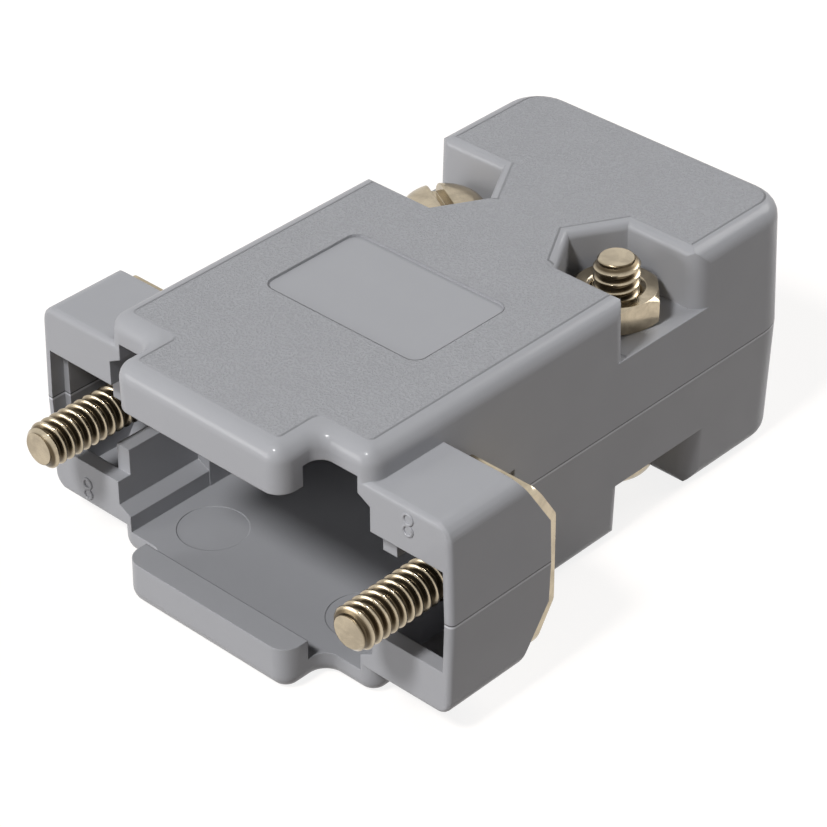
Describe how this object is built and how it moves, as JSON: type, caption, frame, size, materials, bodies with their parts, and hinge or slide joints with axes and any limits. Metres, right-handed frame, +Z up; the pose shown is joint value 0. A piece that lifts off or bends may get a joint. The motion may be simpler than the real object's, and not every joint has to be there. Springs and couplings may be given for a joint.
{
  "type": "d-sub connector hood",
  "caption": "Two-part moulded hood for a small d-sub connector, held by screws and nuts, with jackscrews on saddle plates and a round cable outlet.",
  "frame": {"origin": "middle between the two jackscrews, in the plane of the ears' front faces and in the parting plane of the two shell halves", "axes": "+X across the ears towards the ear named right, +Y along the cable towards its outlet, +Z up, square to the parting plane"},
  "size_m": [0.0328, 0.0415, 0.0168],
  "materials": {
    "shell_plastic": "fine spark-eroded grain with smooth borders",
    "plated_steel": "nickel plated"
  },
  "bodies": {
    "hood": {"upper_shell": "shell_plastic", "lower_shell": "shell_plastic", "assembly_screw_left": "plated_steel", "assembly_screw_right": "plated_steel", "hex_nut_left": "plated_steel", "hex_nut_right": "plated_steel"},
    "saddle_left": {"saddle_plate_left": "plated_steel"},
    "saddle_right": {"saddle_plate_right": "plated_steel"},
    "screw_left": {"jackscrew_left": "plated_steel"},
    "screw_right": {"jackscrew_right": "plated_steel"}
  },
  "joints": [
    {"name": "saddle_left_slide", "type": "slide", "parent": "hood", "child": "saddle_left", "axis": [0, 1, 0], "range_m": [0, 0.0006]},
    {"name": "saddle_right_slide", "type": "slide", "parent": "hood", "child": "saddle_right", "axis": [0, 1, 0], "range_m": [0, 0.0006]},
    {"name": "screw_left_turn", "type": "hinge", "parent": "saddle_left", "child": "screw_left", "pos_m": [-0.01249, 0.00864, 0], "axis": [0, 1, 0], "continuous": true},
    {"name": "screw_right_turn", "type": "hinge", "parent": "saddle_right", "child": "screw_right", "pos_m": [0.01249, 0.00864, 0], "axis": [0, 1, 0], "continuous": true}
  ]
}
